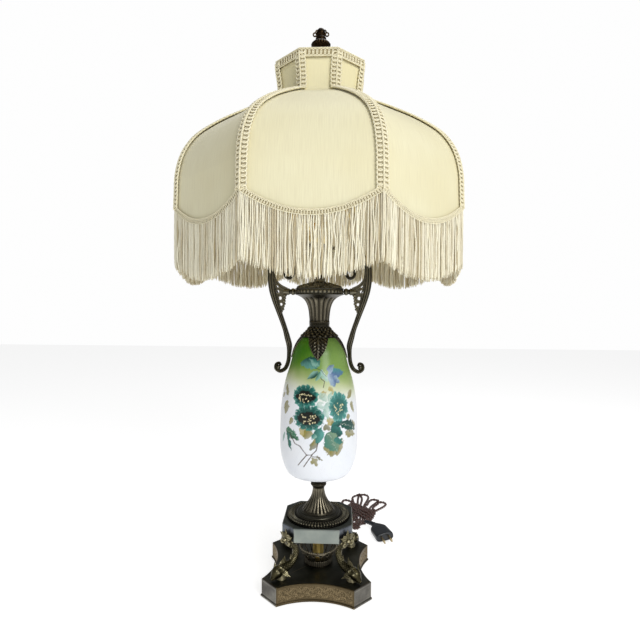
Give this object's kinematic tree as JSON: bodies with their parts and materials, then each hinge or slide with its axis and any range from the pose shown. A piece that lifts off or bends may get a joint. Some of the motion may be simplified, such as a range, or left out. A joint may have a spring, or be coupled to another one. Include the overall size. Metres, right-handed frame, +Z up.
{
  "type": "electrified banquet oil lamp",
  "caption": "Table lamp in oil-lamp style: painted glass vase on a dolphin base, scroll handles, fringed silk panel shade, cord with plug.",
  "frame": {"origin": "middle of the underside, on the table", "axes": "+Z up along the stem, -Y towards the front of the painted vase, handles along X"},
  "size_m": [0.3804, 0.5215, 0.8002],
  "materials": {
    "felt": "matte felt",
    "olive_bronze": "dark antique patina, satin",
    "antique_brass": "antiqued, rubbed on the high points",
    "bright_brass": "semi-bright",
    "dark_pipe": "dark patina",
    "copper": "reddish, dull",
    "steel": "plain",
    "frame_wire": "white-lacquered wire",
    "dark_rubber": "matt",
    "opal_glass": "hand-painted gloss over opal",
    "bulb_glass": "frosted",
    "bulb_metal": "rolled thread",
    "porcelain": "unglazed",
    "fibre": "waxed fibre",
    "silk": "slubbed silk, soft sheen",
    "lining": "thin lining silk",
    "gimp": "looped braid",
    "fringe": "twisted rayon strands",
    "cord": "cloth-covered twisted pair",
    "plug": "moulded, slightly glossy"
  },
  "bodies": {
    "lamp": {"felt_pad": "felt", "plinth": "olive_bronze", "pedestal": "olive_bronze", "beaded_ring": "olive_bronze", "stem_ring": "olive_bronze", "base_gallery": "antique_brass", "dolphin_front_left": "antique_brass", "dolphin_front_right": "antique_brass", "dolphin_rear_left": "antique_brass", "dolphin_rear_right": "antique_brass", "fluted_stem": "antique_brass", "leaf_collar": "antique_brass", "neck": "antique_brass", "gallery_cup": "antique_brass", "dome_cap": "antique_brass", "handle_knuckles": "antique_brass", "handle_left": "antique_brass", "handle_right": "antique_brass", "top_nut": "antique_brass", "spacer_sleeve": "bright_brass", "centre_rod": "bright_brass", "bottom_nut": "bright_brass", "top_rod": "bright_brass", "shade_seat": "bright_brass", "cluster_body": "bright_brass", "socket_caps": "bright_brass", "socket_shells": "bright_brass", "screw_shells": "bright_brass", "plug_blades": "bright_brass", "riser_pipe": "dark_pipe", "base_washer": "copper", "bottom_washer": "steel", "dolphin_screws": "steel", "handle_screws": "steel", "vase_gaskets": "dark_rubber", "cord_bushing": "dark_rubber", "vase": "opal_glass", "switch_bodies": "porcelain", "socket_liners": "fibre", "inner_cord": "cord", "cord_lead": "cord", "cord_hank": "cord", "cord_tail": "cord", "plug_body": "plug"},
    "shade": {"shade_frame": "frame_wire", "spider": "steel", "shade_silk": "silk", "shade_lining": "lining", "rim_gimp": "gimp", "rib_gimp": "gimp", "hem_gimp": "gimp", "fringe": "fringe"},
    "finial": {"finial": "antique_brass"},
    "bulb_left": {"bulb_base_left": "bulb_metal", "bulb_glass_left": "bulb_glass"},
    "bulb_right": {"bulb_base_right": "bulb_metal", "bulb_glass_right": "bulb_glass"},
    "key_left": {"key_left": "bright_brass"},
    "key_right": {"key_right": "bright_brass"}
  },
  "joints": [
    {"name": "shade_turn", "type": "hinge", "parent": "lamp", "child": "shade", "pos_m": [0, 0, 0.733], "axis": [0, 0, 1], "continuous": true},
    {"name": "finial_turn", "type": "hinge", "parent": "lamp", "child": "finial", "pos_m": [0, 0, 0.76], "axis": [0, 0, 1], "continuous": true},
    {"name": "bulb_left_turn", "type": "hinge", "parent": "lamp", "child": "bulb_left", "pos_m": [-0.0495, 0, 0.5545], "axis": [-0.7071, 0, 0.7071], "range_deg": [0, 1080]},
    {"name": "key_left_turn", "type": "hinge", "parent": "lamp", "child": "key_left", "pos_m": [-0.03359, -0.02, 0.53859], "axis": [0, -1, 0], "continuous": true},
    {"name": "bulb_right_turn", "type": "hinge", "parent": "lamp", "child": "bulb_right", "pos_m": [0.0495, 0, 0.5545], "axis": [0.7071, 0, 0.7071], "range_deg": [0, 1080]},
    {"name": "key_right_turn", "type": "hinge", "parent": "lamp", "child": "key_right", "pos_m": [0.03359, -0.02, 0.53859], "axis": [0, -1, 0], "continuous": true}
  ]
}
